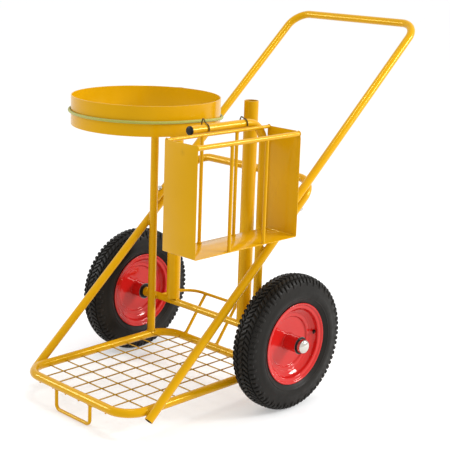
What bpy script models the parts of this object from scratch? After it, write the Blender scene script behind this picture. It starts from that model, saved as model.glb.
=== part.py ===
"""Two-wheeled litter cart: bent tube frame, wire platform, sack hoop, tool tubes and a lift-off tool box.

Sizes are metres. The cart frame has X across the cart, Y from the front to the handle and Z up, with the
axle above its origin; the cart empty then shifts it so that the world origin is the middle of the base.
"""
import math

import bmesh
import bpy
from mathutils import Quaternion, Vector, geometry

GAP = 0.0003

# Frame tubes and rods
TUBE_R = 0.0125
TUBE_WALL = 0.002
ROD_R = 0.005
TUBE_SIDES = 12
ROD_SIDES = 8
BEND_SEGMENTS = 5
TOUCHING_TUBES = 2 * TUBE_R + GAP

# Base ring and its wire platform
RING_X = 0.229
BASE_FRONT_Y = -0.5195
BASE_BACK_Y = 0.040
BASE_Z = 0.0765
BASE_CORNER_R = 0.070
BUTT_JOINT_X = 0.060
WIRE_R = 0.002
WIRE_SIDES = 6
LONG_WIRES = 6
LONG_WIRE_PITCH = 0.0588
CROSS_WIRES = 8
CROSS_WIRE_PITCH = 0.0597
FIRST_CROSS_WIRE_Y = -0.435
CROSS_WIRE_DROP = 0.0033
FOOT_X = 0.075
FOOT_BEND_R = 0.015

# Slanted frame: lower U and the push handle on top of it
RAIL_X = RING_X + TOUCHING_TUBES
RAIL_FOOT_Y = -0.463
RAIL_FOOT_Z = 0.059
RAIL_ANGLE = math.radians(41.67)
CROSSBAR_ALONG = 0.869
LOWER_BEND_R = 0.067
HANDLE_START_ALONG = 0.650
HANDLE_END_ALONG = 1.514
HANDLE_BEND_R = 0.061
BOLTS_ALONG = (0.687, 0.770)
BOLT_R = 0.004
BOLT_HEAD_R = 0.0075
BOLT_HEAD_H = 0.0053
NUT_H = 0.0065
BOLT_END = 0.0025

# Axle and the rods behind it
AXLE_Z = 0.200
AXLE_TUBE_R = 0.011
AXLE_TUBE_HALF = 0.283
COLLAR_R = 0.0155
COLLAR_WIDTH = 0.015
SHAFT_R = 0.0085
ARCH_X = 0.222
ARCH_Y = 0.132
ARCH_BEND_R = 0.065
ARCH_RODS_X = {"left": -0.140, "middle": 0.0, "right": 0.140}

# Uprights
POST_Y = -(TUBE_R + AXLE_TUBE_R + GAP)
POST_BOTTOM_Z = BASE_Z + TUBE_R + GAP
SUPPORT_Z = 0.832
SUPPORT_END_Y = -0.312
SUPPORT_BEND_R = 0.070
PLUG_FACE_Y = -0.318
PLUG_STEM_R = 0.0095
PLUG_STEM = 0.015
PLUG_EDGE = 0.001
PLUG_STEPS = 12
RING_POST_TOP_Z = 0.872
JOGGLE_Z = (0.725, 0.800)
JOGGLE_STEPS = 6
JOGGLE_SHIFT = (0.0192, -0.0220)
TOOL_TUBE_X = 0.1545
TOOL_TUBE_R = 0.021
TOOL_TUBE_WALL = 0.0025
TOOL_TUBE_TOP_Z = 0.880

# Sack hoop and its elastic cord
HOOP_CENTRE = (-0.0579, -0.2157)
HOOP_R = 0.215
HOOP_WALL = 0.003
HOOP_Z = (0.8011, 0.8851)
CORD_R = 0.004
CORD_CLEARANCE = 0.0006
CORD_Z = 0.841
CORD_DIP = 0.013
CORD_DIP_ANGLE = math.radians(55)
CORD_DIP_HALF_WIDTH = math.radians(65)
CORD_POINT_SPACING = 0.025

# Tool box
BOX_X = (0.242, 0.3655)
BOX_Y = (-0.4155, -0.0205)
BOX_Z = (0.5215, 0.8215)
SHEET = 0.002
BOX_FOLD_R = 0.004
BOX_CORNER_R = 0.022
INNER_ROD = {"x": BOX_X[0] + ROD_R + GAP, "z": 0.8195, "radius": ROD_R}
OUTER_ROD = {"x": 0.3585, "z": 0.814, "radius": 0.007}
SLATS_X = {"inner": BOX_X[0] + ROD_R + GAP, "outer": BOX_X[1] - ROD_R}
SLATS_Y = {"front": -0.2855, "back": -0.1520}
HOOKS = {"front": {"y": -0.256, "peak": 0.864, "shoulder": 0.850},
         "back": {"y": -0.107, "peak": 0.852, "shoulder": 0.844}}
HOOK_R = 0.002
HOOK_BEND_R = 0.0025
HOOK_TIP_DROP = 0.012
HOOK_CLEARANCE = 0.0005
HOOK_PEAK_X = 0.2185

# Wheels: a distance along the axle counts outward from the wheel's middle plane
WHEEL_X = 0.332
WHEEL_STEPS = 32
HUB_STEPS = 20
HUB_R = 0.024
HUB_BORE_R = 0.0153
HUB_SPAN = (-0.045, 0.052)
BEARING_WIDTH = 0.014
BEARING_R = HUB_BORE_R - GAP
BEARING_BORE_R = 0.0088
OUTER_SEAL_R = 0.0245
OUTER_SEAL_WIDTH = 0.002
INNER_SEAL_R = 0.0225
INNER_SEAL_WIDTH = 0.003
SEAL_BORE_R = 0.0089
SEAL_STEPS = 20
SHAFT_END = 0.066
CAP_R = 0.021
CAP_TOP = 0.074
CAP_DOME = ((0.0090, 0.0008), (0.0155, 0.0035), (0.0200, 0.0085), (CAP_R, 0.0130))
RIM_SHEET = 0.002
RIM_PATH = (
    (0.1195, 0.0335), (0.1178, 0.0303), (0.1055, 0.0285), (0.1025, 0.0265), (0.1010, 0.0165),
    (0.0885, 0.0110), (0.0600, 0.0025), (0.0244, 0.0012),
)
TREAD_R = 0.200 / math.cos(math.pi / WHEEL_STEPS)
TYRE_HALF = (
    (0.189, 0.000), (0.180, 0.033), (0.152, 0.038), (0.119, 0.024), (0.1042, 0.021), (0.1042, 0.0262),
    (0.1196, 0.0274), (0.1216, 0.033), (0.150, 0.0425), (0.172, 0.0405), (0.194, 0.0325), (TREAD_R, 0.014),
)
INNER_TUBE_CENTRE_R = 0.150
INNER_TUBE_R = 0.032
INNER_TUBE_WALL = 0.0025
INNER_TUBE_STEPS = 16
INNER_TUBE_SECTION = 8
VALVE_R = 0.004
VALVE_ANGLE = math.radians(7)
VALVE_INNER_END = (0.122, 0.0055)
VALVE_OUTER_END = (0.086, 0.024)

# The bounding box runs from the front of the base ring to the back of the push handle.
HANDLE_BACK_Y = (RAIL_FOOT_Y + HANDLE_END_ALONG * math.cos(RAIL_ANGLE)
                 - TOUCHING_TUBES * math.sin(RAIL_ANGLE) + TUBE_R)
AXLE_Y = -(BASE_FRONT_Y - TUBE_R + HANDLE_BACK_Y) / 2

# Colour, roughness and metallic value of each finish
LOOKS = {
    "yellow_paint": ((0.84, 0.47, 0.005), 0.35, 0.0),
    "red_paint": ((0.58, 0.02, 0.015), 0.30, 0.0),
    "tyre_rubber": ((0.022, 0.022, 0.019), 0.80, 0.0),
    "tube_rubber": ((0.015, 0.015, 0.015), 0.60, 0.0),
    "black_plastic": ((0.020, 0.020, 0.018), 0.50, 0.0),
    "zinc_steel": ((0.55, 0.56, 0.58), 0.35, 1.0),
    "dark_wire": ((0.13, 0.09, 0.04), 0.40, 1.0),
    "bright_cap": ((0.75, 0.73, 0.70), 0.15, 1.0),
    "green_elastic": ((0.33, 0.46, 0.08), 0.70, 0.0),
}


def clear_scene():
    for item in list(bpy.data.objects):
        bpy.data.objects.remove(item, do_unlink=True)


def new_collection(name):
    collection = bpy.data.collections.new(name)
    bpy.context.scene.collection.children.link(collection)
    return collection


def new_empty(name, parent, location):
    empty = bpy.data.objects.new(name, None)
    empty.parent = parent
    empty.location = location
    PARTS.objects.link(empty)
    return empty


def new_object(name, data, parent, look=None):
    """Add a sub-part with its own material, or a cutter when it has no look."""
    item = bpy.data.objects.new(name, data)
    item.parent = parent
    if look is None:
        CUTTERS.objects.link(item)
        item.hide_render = True
        item.display_type = "WIRE"
        return item
    PARTS.objects.link(item)
    colour, roughness, metallic = LOOKS[look]
    finish = bpy.data.materials.new(name + "_finish")
    finish.use_nodes = True
    shader = finish.node_tree.nodes["Principled BSDF"]
    shader.inputs["Base Color"].default_value = (*colour, 1.0)
    shader.inputs["Roughness"].default_value = roughness
    shader.inputs["Metallic"].default_value = metallic
    data.materials.clear()
    data.materials.append(finish)
    return item


def rounded_path(corners, radius, segments=BEND_SEGMENTS):
    """Points along straight runs between the corners, with an arc at each inner corner."""
    points = [Vector(corners[0])]
    for before, corner, after in zip(corners, corners[1:], corners[2:]):
        corner = Vector(corner)
        into = (corner - Vector(before)).normalized()
        out = (Vector(after) - corner).normalized()
        turn = into.angle(out)
        reach = radius * math.tan(turn / 2)
        centre = corner + (out - into).normalized() * radius / math.cos(turn / 2)
        first = corner - into * reach - centre
        axis = into.cross(out).normalized()
        for step in range(segments + 1):
            swing = first.copy()
            swing.rotate(Quaternion(axis, turn * step / segments))
            points.append(centre + swing)
    points.append(Vector(corners[-1]))
    return points


def curve_data(name, paths, radius, sides, cyclic=False, capped=True):
    data = bpy.data.curves.new(name, "CURVE")
    data.dimensions = "3D"
    data.bevel_depth = radius
    data.bevel_resolution = (sides - 4) // 2
    data.render_resolution_u = 0
    data.use_fill_caps = capped
    for path in paths:
        spline = data.splines.new("POLY")
        spline.points.add(len(path) - 1)
        for point, place in zip(spline.points, path):
            point.co = (*place, 1.0)
        spline.use_cyclic_u = cyclic
    return data


def rod(name, path, radius, parent, look, sides=ROD_SIDES, cyclic=False):
    return new_object(name, curve_data(name, [path], radius, sides, cyclic), parent, look)


def mesh_of_curves(name, paths, radius, sides, capped=True):
    """The mesh of one or more tubes that lie clear of each other."""
    source = new_object(name + "_guide", curve_data(name + "_guide", paths, radius, sides, capped=capped), None)
    mesh = evaluated_mesh(source, name)
    bpy.data.objects.remove(source, do_unlink=True)
    shape = bmesh.new()
    shape.from_mesh(mesh)
    bmesh.ops.remove_doubles(shape, verts=shape.verts, dist=0.00001)
    shape.to_mesh(mesh)
    shape.free()
    return mesh


def evaluated_mesh(source, name):
    depsgraph = bpy.context.evaluated_depsgraph_get()
    mesh = bpy.data.meshes.new_from_object(source.evaluated_get(depsgraph))
    mesh.name = name
    return mesh


def hollow_tube(name, path, radius, wall, parent, look, sides=TUBE_SIDES):
    """An open-ended tube: an open surface with a wall inside it."""
    tube = new_object(name, mesh_of_curves(name, [path], radius, sides, capped=False), parent, look)
    solidify = tube.modifiers.new("wall", "SOLIDIFY")
    solidify.thickness = wall
    solidify.offset = -1
    solidify.use_even_offset = True
    return tube


def turned(name, outline, steps, parent, look, side=0):
    """Turn (radius, height) points about the axis, which stands up, or points outward on a wheel's side.

    A wheel's pieces are turned half a step round, so that each stands on a flat and not on an edge.
    """
    steps_round = zip(outline, outline[1:] + outline[:1])
    area = sum(a[0] * b[1] - b[0] * a[1] for a, b in steps_round)
    ordered = outline if area < 0 else outline[::-1]
    edges = [(index, index + 1) for index in range(len(ordered) - 1)]
    on_axis = ordered[0][0] == 0 and ordered[-1][0] == 0
    if not on_axis:
        edges.append((len(ordered) - 1, 0))
    phase = abs(side) * math.pi / steps
    places = [(radius * math.cos(phase), radius * math.sin(phase), height) for radius, height in ordered]
    mesh = bpy.data.meshes.new(name)
    mesh.from_pydata(places, edges, [])
    item = new_object(name, mesh, parent, look)
    item.rotation_euler = (0, side * math.pi / 2, 0)
    screw = item.modifiers.new("turn", "SCREW")
    screw.steps = steps
    screw.render_steps = steps
    screw.use_merge_vertices = True
    screw.merge_threshold = 0.00001
    return item


def pipe_outline(outer, inner, low, high):
    return [(outer, high), (outer, low), (inner, low), (inner, high)]


def sheet_outline(path, thickness):
    """The closed outline of a sheet whose middle follows the path."""
    one_side = []
    other_side = []
    for index, point in enumerate(path):
        before = Vector(path[max(index - 1, 0)])
        after = Vector(path[min(index + 1, len(path) - 1)])
        along = (after - before).normalized()
        across = Vector((-along.y, along.x)) * thickness / 2
        one_side.append(tuple(Vector(point) + across))
        other_side.append(tuple(Vector(point) - across))
    return one_side + other_side[::-1]


def boolean(item, operation, operand):
    modifier = item.modifiers.new(operation.lower(), "BOOLEAN")
    modifier.operation = operation
    modifier.object = operand
    modifier.solver = "EXACT"


def prism_mesh(name, sides, radius, low, high):
    mesh = bpy.data.meshes.new(name)
    shape = bmesh.new()
    made = bmesh.ops.create_cone(shape, cap_ends=True, segments=sides, radius1=radius, radius2=radius,
                                 depth=high - low)
    bmesh.ops.translate(shape, verts=made["verts"], vec=(0, 0, (high + low) / 2))
    shape.to_mesh(mesh)
    shape.free()
    return mesh


def rail_point(x, along, above=0.0):
    """A place on the slanted frame: along the rails from their lower ends, and above their plane."""
    y = RAIL_FOOT_Y + along * math.cos(RAIL_ANGLE) - above * math.sin(RAIL_ANGLE)
    z = RAIL_FOOT_Z + along * math.sin(RAIL_ANGLE) + above * math.cos(RAIL_ANGLE)
    return Vector((x, y, z))


def slanted_loop(start, end, above, radius):
    corners = [rail_point(-RAIL_X, start, above), rail_point(-RAIL_X, end, above),
               rail_point(RAIL_X, end, above), rail_point(RAIL_X, start, above)]
    return rounded_path(corners, radius)


def slanted_frame(cart):
    lower = hollow_tube("lower_frame", slanted_loop(0.0, CROSSBAR_ALONG, 0.0, LOWER_BEND_R),
                        TUBE_R, TUBE_WALL, cart, "yellow_paint")
    handle = hollow_tube("handle_tube",
                         slanted_loop(HANDLE_START_ALONG, HANDLE_END_ALONG, TOUCHING_TUBES, HANDLE_BEND_R),
                         TUBE_R, TUBE_WALL, cart, "yellow_paint")
    bolt = bolt_mesh()
    nut = nut_mesh()
    for side, x in (("left", -RAIL_X), ("right", RAIL_X)):
        for place, along in zip(("lower", "upper"), BOLTS_ALONG):
            label = side + "_" + place
            hole = new_object("bolt_hole_" + label,
                              prism_mesh("bolt_hole_" + label, 10, BOLT_R + GAP, -2 * TUBE_R, 4 * TUBE_R), cart)
            fastener = new_object("frame_bolt_" + label, bolt.copy(), cart, "zinc_steel")
            ring = new_object("frame_nut_" + label, nut.copy(), cart, "zinc_steel")
            for item in (hole, fastener, ring):
                item.location = rail_point(x, along)
                item.rotation_euler = (RAIL_ANGLE, 0, 0)
            boolean(lower, "DIFFERENCE", hole)
            boolean(handle, "DIFFERENCE", hole)


def bolt_mesh():
    """A hexagon bolt along Z, its head above the two tubes and its end below the nut."""
    head_low = TOUCHING_TUBES + TUBE_R + GAP
    end = -(TUBE_R + GAP + NUT_H + BOLT_END)
    shank = new_object("bolt_shank", prism_mesh("bolt_shank", 10, BOLT_R, end, head_low + BOLT_HEAD_H / 2), None)
    head = new_object("bolt_head", prism_mesh("bolt_head", 6, BOLT_HEAD_R, head_low, head_low + BOLT_HEAD_H),
                      None)
    boolean(shank, "UNION", head)
    return evaluated_mesh(shank, "frame_bolt")


def nut_mesh():
    high = -(TUBE_R + GAP)
    body = new_object("nut_body", prism_mesh("nut_body", 6, BOLT_HEAD_R, high - NUT_H, high), None)
    bore = new_object("nut_bore", prism_mesh("nut_bore", 10, BOLT_R + GAP, high - 2 * NUT_H, high + NUT_H), None)
    boolean(body, "DIFFERENCE", bore)
    return evaluated_mesh(body, "frame_nut")


def base_ring(cart):
    """The platform's frame, one bent tube whose ends meet in a butt joint at the back."""
    start_x = BUTT_JOINT_X + GAP
    end_x = BUTT_JOINT_X - GAP
    corners = [(start_x, BASE_BACK_Y, BASE_Z), (RING_X, BASE_BACK_Y, BASE_Z), (RING_X, BASE_FRONT_Y, BASE_Z),
               (-RING_X, BASE_FRONT_Y, BASE_Z), (-RING_X, BASE_BACK_Y, BASE_Z), (end_x, BASE_BACK_Y, BASE_Z)]
    hollow_tube("base_ring", rounded_path(corners, BASE_CORNER_R), TUBE_R, TUBE_WALL, cart, "yellow_paint")


def platform_mesh(cart):
    """Long wires with cross wires welded under them, all inside the base ring."""
    end_gap = TUBE_R + GAP
    long_paths = []
    for index in range(LONG_WIRES):
        x = (index - (LONG_WIRES - 1) / 2) * LONG_WIRE_PITCH
        long_paths.append([(x, BASE_FRONT_Y + end_gap, BASE_Z), (x, BASE_BACK_Y - end_gap, BASE_Z)])
    cross_paths = []
    for index in range(CROSS_WIRES):
        y = FIRST_CROSS_WIRE_Y + index * CROSS_WIRE_PITCH
        z = BASE_Z - CROSS_WIRE_DROP
        cross_paths.append([(-cross_wire_end(y), y, z), (cross_wire_end(y), y, z)])
    wires = new_object("platform_mesh", mesh_of_curves("platform_mesh", long_paths, WIRE_R, WIRE_SIDES), cart,
                       "yellow_paint")
    cross = new_object("cross_wires", mesh_of_curves("cross_wires", cross_paths, WIRE_R, WIRE_SIDES), cart)
    boolean(wires, "UNION", cross)


def cross_wire_end(y):
    """The inside of the ring's side tube, which starts to bend before the last wire."""
    into_bend = max(0.0, y + WIRE_R - (BASE_BACK_Y - BASE_CORNER_R))
    inside_r = (BASE_CORNER_R - TUBE_R) * math.cos(math.pi / 4 / BEND_SEGMENTS) - GAP
    if into_bend == 0:
        return RING_X - TUBE_R - GAP
    return RING_X - BASE_CORNER_R + math.sqrt(inside_r ** 2 - into_bend ** 2)


def front_foot(cart):
    top = BASE_Z - TUBE_R - GAP
    corners = [(-FOOT_X, BASE_FRONT_Y, top), (-FOOT_X, BASE_FRONT_Y, ROD_R),
               (FOOT_X, BASE_FRONT_Y, ROD_R), (FOOT_X, BASE_FRONT_Y, top)]
    rod("front_foot", rounded_path(corners, FOOT_BEND_R, 4), ROD_R, cart, "yellow_paint")


def axle(cart):
    hollow_tube("axle_tube", [(-AXLE_TUBE_HALF, 0, AXLE_Z), (AXLE_TUBE_HALF, 0, AXLE_Z)],
                AXLE_TUBE_R, TUBE_WALL, cart, "yellow_paint")
    half = WHEEL_X + SHAFT_END
    rod("axle_shaft", [(-half, 0, AXLE_Z), (half, 0, AXLE_Z)], SHAFT_R, cart, "zinc_steel", TUBE_SIDES)


def rear_arch(cart):
    start_y = AXLE_TUBE_R + GAP
    corners = [(-ARCH_X, start_y, AXLE_Z), (-ARCH_X, ARCH_Y, AXLE_Z),
               (ARCH_X, ARCH_Y, AXLE_Z), (ARCH_X, start_y, AXLE_Z)]
    rod("rear_arch", rounded_path(corners, ARCH_BEND_R), ROD_R, cart, "yellow_paint")
    for side, x in ARCH_RODS_X.items():
        low = Vector((x, BASE_BACK_Y, BASE_Z))
        high = Vector((x, ARCH_Y, AXLE_Z))
        along = (high - low).normalized()
        ends = [low + along * (TUBE_R + GAP), high - along * (ROD_R + GAP)]
        rod("arch_rod_" + side, ends, ROD_R, cart, "yellow_paint")


def uprights(cart):
    joggle = []
    for step in range(JOGGLE_STEPS + 1):
        part = step / JOGGLE_STEPS
        ease = (1 - math.cos(math.pi * part)) / 2
        joggle.append((-RING_X + JOGGLE_SHIFT[0] * ease, POST_Y + JOGGLE_SHIFT[1] * ease,
                       JOGGLE_Z[0] + (JOGGLE_Z[1] - JOGGLE_Z[0]) * part))
    path = [(-RING_X, POST_Y, POST_BOTTOM_Z), *joggle, (*joggle[-1][:2], RING_POST_TOP_Z)]
    hollow_tube("ring_post", path, TUBE_R, TUBE_WALL, cart, "yellow_paint")
    corners = [(RING_X, POST_Y, POST_BOTTOM_Z), (RING_X, POST_Y, SUPPORT_Z), (RING_X, SUPPORT_END_Y, SUPPORT_Z)]
    hollow_tube("box_support_post", rounded_path(corners, SUPPORT_BEND_R), TUBE_R, TUBE_WALL, cart,
                "yellow_paint")
    plug(cart)
    for side, x in (("left", -TOOL_TUBE_X), ("right", TOOL_TUBE_X)):
        low = AXLE_Z + AXLE_TUBE_R + GAP
        outline = pipe_outline(TOOL_TUBE_R, TOOL_TUBE_R - TOOL_TUBE_WALL, low, TOOL_TUBE_TOP_Z)
        tube = turned("tool_tube_" + side, outline, HUB_STEPS, cart, "yellow_paint")
        tube.location = (x, 0, 0)


def plug(cart):
    """A push-in end plug: its head covers the tube's end and its stem sits in the bore."""
    head = SUPPORT_END_Y - GAP - PLUG_FACE_Y
    outline = [(0, head), (TUBE_R - PLUG_EDGE, head), (TUBE_R, head - PLUG_EDGE), (TUBE_R, 0),
               (PLUG_STEM_R, 0), (PLUG_STEM_R, -PLUG_STEM), (0, -PLUG_STEM)]
    item = turned("post_plug", outline, PLUG_STEPS, cart, "black_plastic")
    item.rotation_euler = (math.pi / 2, 0, 0)
    item.location = (RING_X, SUPPORT_END_Y - GAP, SUPPORT_Z)


def sack_hoop(cart):
    hoop = turned("bag_ring", pipe_outline(HOOP_R, HOOP_R - HOOP_WALL, *HOOP_Z), 40, cart, "yellow_paint")
    hoop.location = (*HOOP_CENTRE, 0)
    rod("elastic_cord", cord_route(), CORD_R, cart, "green_elastic", cyclic=True)


def cord_route():
    """The stretched loop: the tightest line round the hoop, the left tool tube and the ring post."""
    centre = Vector(HOOP_CENTRE)
    post = Vector((-RING_X + JOGGLE_SHIFT[0], POST_Y + JOGGLE_SHIFT[1]))
    held = [(centre, HOOP_R, 72), (Vector((-TOOL_TUBE_X, 0)), TOOL_TUBE_R, 24), (post, TUBE_R, 24)]
    around = []
    for middle, radius, count in held:
        reach = radius + CORD_R + CORD_CLEARANCE
        for index in range(count):
            angle = 2 * math.pi * index / count
            around.append(middle + reach * Vector((math.cos(angle), math.sin(angle))))
    loop = [around[index] for index in geometry.convex_hull_2d(around)]
    route = []
    for here, following in zip(loop, loop[1:] + loop[:1]):
        pieces = math.ceil((following - here).length / CORD_POINT_SPACING)
        for piece in range(pieces):
            spot = here.lerp(following, piece / pieces)
            route.append((spot.x, spot.y, cord_height(spot - centre)))
    return route


def cord_height(offset):
    away = abs(math.atan2(offset.y, offset.x) - CORD_DIP_ANGLE)
    if away >= CORD_DIP_HALF_WIDTH:
        return CORD_Z
    return CORD_Z - CORD_DIP * (1 + math.cos(math.pi * away / CORD_DIP_HALF_WIDTH)) / 2


def tool_box(cart):
    """The lift-off box hangs by two hooks on the level leg of the support post."""
    hang = new_empty("tool_box_hang", cart, (RING_X, 0, SUPPORT_Z))
    shift = -Vector((RING_X, 0, SUPPORT_Z))
    sheet = new_object("box_sheet", box_sheet_mesh(), hang, "yellow_paint")
    sheet.location = shift
    solidify = sheet.modifiers.new("sheet", "SOLIDIFY")
    solidify.thickness = SHEET
    solidify.offset = -1
    solidify.use_even_offset = True
    front = BOX_Y[0] + SHEET + GAP
    back = BOX_Y[1] - SHEET - GAP
    for side, bar in (("inner", INNER_ROD), ("outer", OUTER_ROD)):
        path = [(bar["x"], front, bar["z"]), (bar["x"], back, bar["z"])]
        rod("box_top_rod_" + side, path, bar["radius"], hang, "yellow_paint").location = shift
        for place, y in SLATS_Y.items():
            x = SLATS_X[side]
            path = [(x, y, BOX_Z[0] + SHEET + GAP), (x, y, bar["z"] - bar["radius"] - GAP)]
            rod("box_slat_" + side + "_" + place, path, ROD_R, hang, "yellow_paint").location = shift
    for place, hook in HOOKS.items():
        rod("box_hook_" + place, hook_path(**hook), HOOK_R, hang, "dark_wire").location = shift


def box_sheet_mesh():
    """Front plate, floor and rear plate, folded from one sheet, with one rounded corner at the back."""
    mid = (BOX_X[0] + BOX_X[1]) / 2
    corners = [(mid, BOX_Y[0], BOX_Z[1]), (mid, BOX_Y[0], BOX_Z[0]),
               (mid, BOX_Y[1], BOX_Z[0]), (mid, BOX_Y[1], BOX_Z[1])]
    half = (BOX_X[1] - BOX_X[0]) / 2
    path = rounded_path(corners, BOX_FOLD_R, 3)
    shape = bmesh.new()
    row = [shape.verts.new(place - Vector((half, 0, 0))) for place in path]
    edges = [shape.edges.new(pair) for pair in zip(row, row[1:])]
    made = bmesh.ops.extrude_edge_only(shape, edges=edges)["geom"]
    moved = [item for item in made if isinstance(item, bmesh.types.BMVert)]
    bmesh.ops.translate(shape, verts=moved, vec=(2 * half, 0, 0))
    corner = max(moved, key=lambda vert: vert.co.y + vert.co.z)
    bmesh.ops.bevel(shape, geom=[corner], offset=BOX_CORNER_R, segments=6, profile=0.5, affect="VERTICES")
    bmesh.ops.recalc_face_normals(shape, faces=shape.faces)
    shape.faces.ensure_lookup_table()
    low_face = min(shape.faces, key=lambda face: face.calc_center_median().z)
    if low_face.normal.z > 0:
        bmesh.ops.reverse_faces(shape, faces=shape.faces)
    mesh = bpy.data.meshes.new("box_sheet")
    shape.to_mesh(mesh)
    shape.free()
    return mesh


def hook_path(y, peak, shoulder):
    """Up the support leg's far side, over in a sharp peak, then close round the leg to the inner top rod."""
    reach = TUBE_R + HOOK_R + HOOK_CLEARANCE
    corners = [(RING_X - reach, y, SUPPORT_Z - HOOK_TIP_DROP), (RING_X - reach, y, shoulder),
               (HOOK_PEAK_X, y, peak), (RING_X, y, SUPPORT_Z + reach)]
    path = rounded_path(corners, HOOK_BEND_R, 3)
    for angle in range(75, -30, -15):
        turn = math.radians(angle)
        path.append(Vector((RING_X + reach * math.cos(turn), y, SUPPORT_Z + reach * math.sin(turn))))
    return path


def wheel(cart, label, side):
    """A pneumatic wheel on a split rim; the side is -1 or 1 and says which way is outward."""
    axis = new_empty("wheel_" + label + "_axis", cart, (side * WHEEL_X, 0, AXLE_Z))
    cutter = valve_piece("valve_cut_" + label, axis, side, VALVE_R + 0.0005, 0.006, None)
    valve_piece("valve_stem_" + label, axis, side, VALVE_R, 0.0, "tube_rubber")
    mirrored = [(radius, -height) for radius, height in TYRE_HALF[1:]]
    turned("tyre_" + label, list(TYRE_HALF) + mirrored[::-1], WHEEL_STEPS, axis, "tyre_rubber", side)
    inflated_tube(label, axis, side, cutter)
    outline = sheet_outline(RIM_PATH, RIM_SHEET)
    outer = turned("rim_outer_" + label, outline, WHEEL_STEPS, axis, "red_paint", side)
    boolean(outer, "DIFFERENCE", cutter)
    turned("rim_inner_" + label, outline, WHEEL_STEPS, axis, "red_paint", -side)
    turned("hub_tube_" + label, pipe_outline(HUB_R, HUB_BORE_R, *HUB_SPAN), HUB_STEPS, axis, "red_paint", side)
    outer_low = HUB_SPAN[1] - BEARING_WIDTH
    inner_low = HUB_SPAN[0]
    for place, low in (("outer", outer_low), ("inner", inner_low)):
        outline = pipe_outline(BEARING_R, BEARING_BORE_R, low + GAP, low + BEARING_WIDTH - GAP)
        turned("bearing_" + place + "_" + label, outline, HUB_STEPS, axis, "zinc_steel", side)
    end_parts(axis, label, side)


def valve_piece(name, axis, side, radius, extra, look):
    inner = Vector((VALVE_INNER_END[0], VALVE_INNER_END[1]))
    outer = Vector((VALVE_OUTER_END[0], VALVE_OUTER_END[1]))
    stretch = (outer - inner).normalized() * extra
    path = []
    for reach, out in (inner - stretch, outer + stretch):
        path.append((side * out, reach * math.cos(VALVE_ANGLE), reach * math.sin(VALVE_ANGLE)))
    if look is None:
        return new_object(name, mesh_of_curves(name, [path], radius, ROD_SIDES), axis)
    return rod(name, path, radius, axis, look)


def inflated_tube(label, axis, side, cutter):
    """The inner tube: a thin ring of rubber, open only where the valve goes in."""
    name = "inner_tube_" + label
    section = []
    for index in range(INNER_TUBE_SECTION):
        angle = 2 * math.pi * (index + 0.5) / INNER_TUBE_SECTION
        section.append((INNER_TUBE_CENTRE_R + INNER_TUBE_R * math.cos(angle), INNER_TUBE_R * math.sin(angle)))
    tube = turned(name, section, INNER_TUBE_STEPS, axis, "tube_rubber", side)
    solidify = tube.modifiers.new("wall", "SOLIDIFY")
    solidify.thickness = INNER_TUBE_WALL
    solidify.offset = -1
    boolean(tube, "DIFFERENCE", cutter)


def end_parts(axis, label, side):
    """Black seal rings each side of the hub, the cap pressed on the shaft's end and the axle tube's collar."""
    low = HUB_SPAN[1] + GAP
    high = low + OUTER_SEAL_WIDTH
    turned("washer_outer_" + label, pipe_outline(OUTER_SEAL_R, SEAL_BORE_R, low, high), SEAL_STEPS,
           axis, "black_plastic", side)
    base = high + GAP
    high = HUB_SPAN[0] - 2 * GAP
    low = high - INNER_SEAL_WIDTH
    turned("washer_inner_" + label, pipe_outline(INNER_SEAL_R, SEAL_BORE_R, low, high), SEAL_STEPS,
           axis, "black_plastic", side)
    bore_end = SHAFT_END + 2 * GAP
    dome = [(radius, CAP_TOP - drop) for radius, drop in CAP_DOME]
    cap = [(0, CAP_TOP), *dome, (CAP_R, base), (SEAL_BORE_R, base), (SEAL_BORE_R, bore_end), (0, bore_end)]
    turned("axle_cap_" + label, cap, 16, axis, "bright_cap", side)
    high = AXLE_TUBE_HALF - WHEEL_X
    turned("axle_collar_" + label, pipe_outline(COLLAR_R, AXLE_TUBE_R + GAP, high - COLLAR_WIDTH, high),
           SEAL_STEPS, axis, "yellow_paint", side)


def shade_round_pieces():
    for item in PARTS.objects:
        if item.type == "MESH":
            item.data.shade_smooth()
            item.data.set_sharp_from_angle(angle=math.radians(35))


clear_scene()
PARTS = new_collection("litter_cart")
CUTTERS = new_collection("litter_cart_cutters")
CART = new_empty("cart", None, (0, AXLE_Y, 0))
slanted_frame(CART)
base_ring(CART)
platform_mesh(CART)
front_foot(CART)
axle(CART)
rear_arch(CART)
uprights(CART)
sack_hoop(CART)
tool_box(CART)
wheel(CART, "left", -1)
wheel(CART, "right", 1)
shade_round_pieces()
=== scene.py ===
"""The visible litter cart: fine tubes, welds, tyres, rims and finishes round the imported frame."""
import math
import random

import bmesh
import bpy
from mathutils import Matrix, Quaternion, Vector, geometry


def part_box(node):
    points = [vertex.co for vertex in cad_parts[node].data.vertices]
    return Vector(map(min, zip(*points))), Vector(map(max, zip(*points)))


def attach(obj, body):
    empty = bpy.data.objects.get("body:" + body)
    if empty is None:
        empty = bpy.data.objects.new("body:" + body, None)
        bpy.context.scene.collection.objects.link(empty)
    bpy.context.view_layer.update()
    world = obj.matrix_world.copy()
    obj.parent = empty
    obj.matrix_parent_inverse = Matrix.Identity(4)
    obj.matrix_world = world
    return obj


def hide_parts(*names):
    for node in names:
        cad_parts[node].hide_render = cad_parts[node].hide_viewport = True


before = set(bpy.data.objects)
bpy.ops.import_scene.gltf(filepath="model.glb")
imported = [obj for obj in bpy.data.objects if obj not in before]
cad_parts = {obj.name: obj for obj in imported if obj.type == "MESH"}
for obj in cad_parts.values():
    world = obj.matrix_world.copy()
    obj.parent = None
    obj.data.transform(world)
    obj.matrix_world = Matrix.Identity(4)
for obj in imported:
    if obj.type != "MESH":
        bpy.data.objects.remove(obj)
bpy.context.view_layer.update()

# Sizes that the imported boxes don't give, in metres
GAP = 0.0003
TUBE_R = 0.0125
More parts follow.
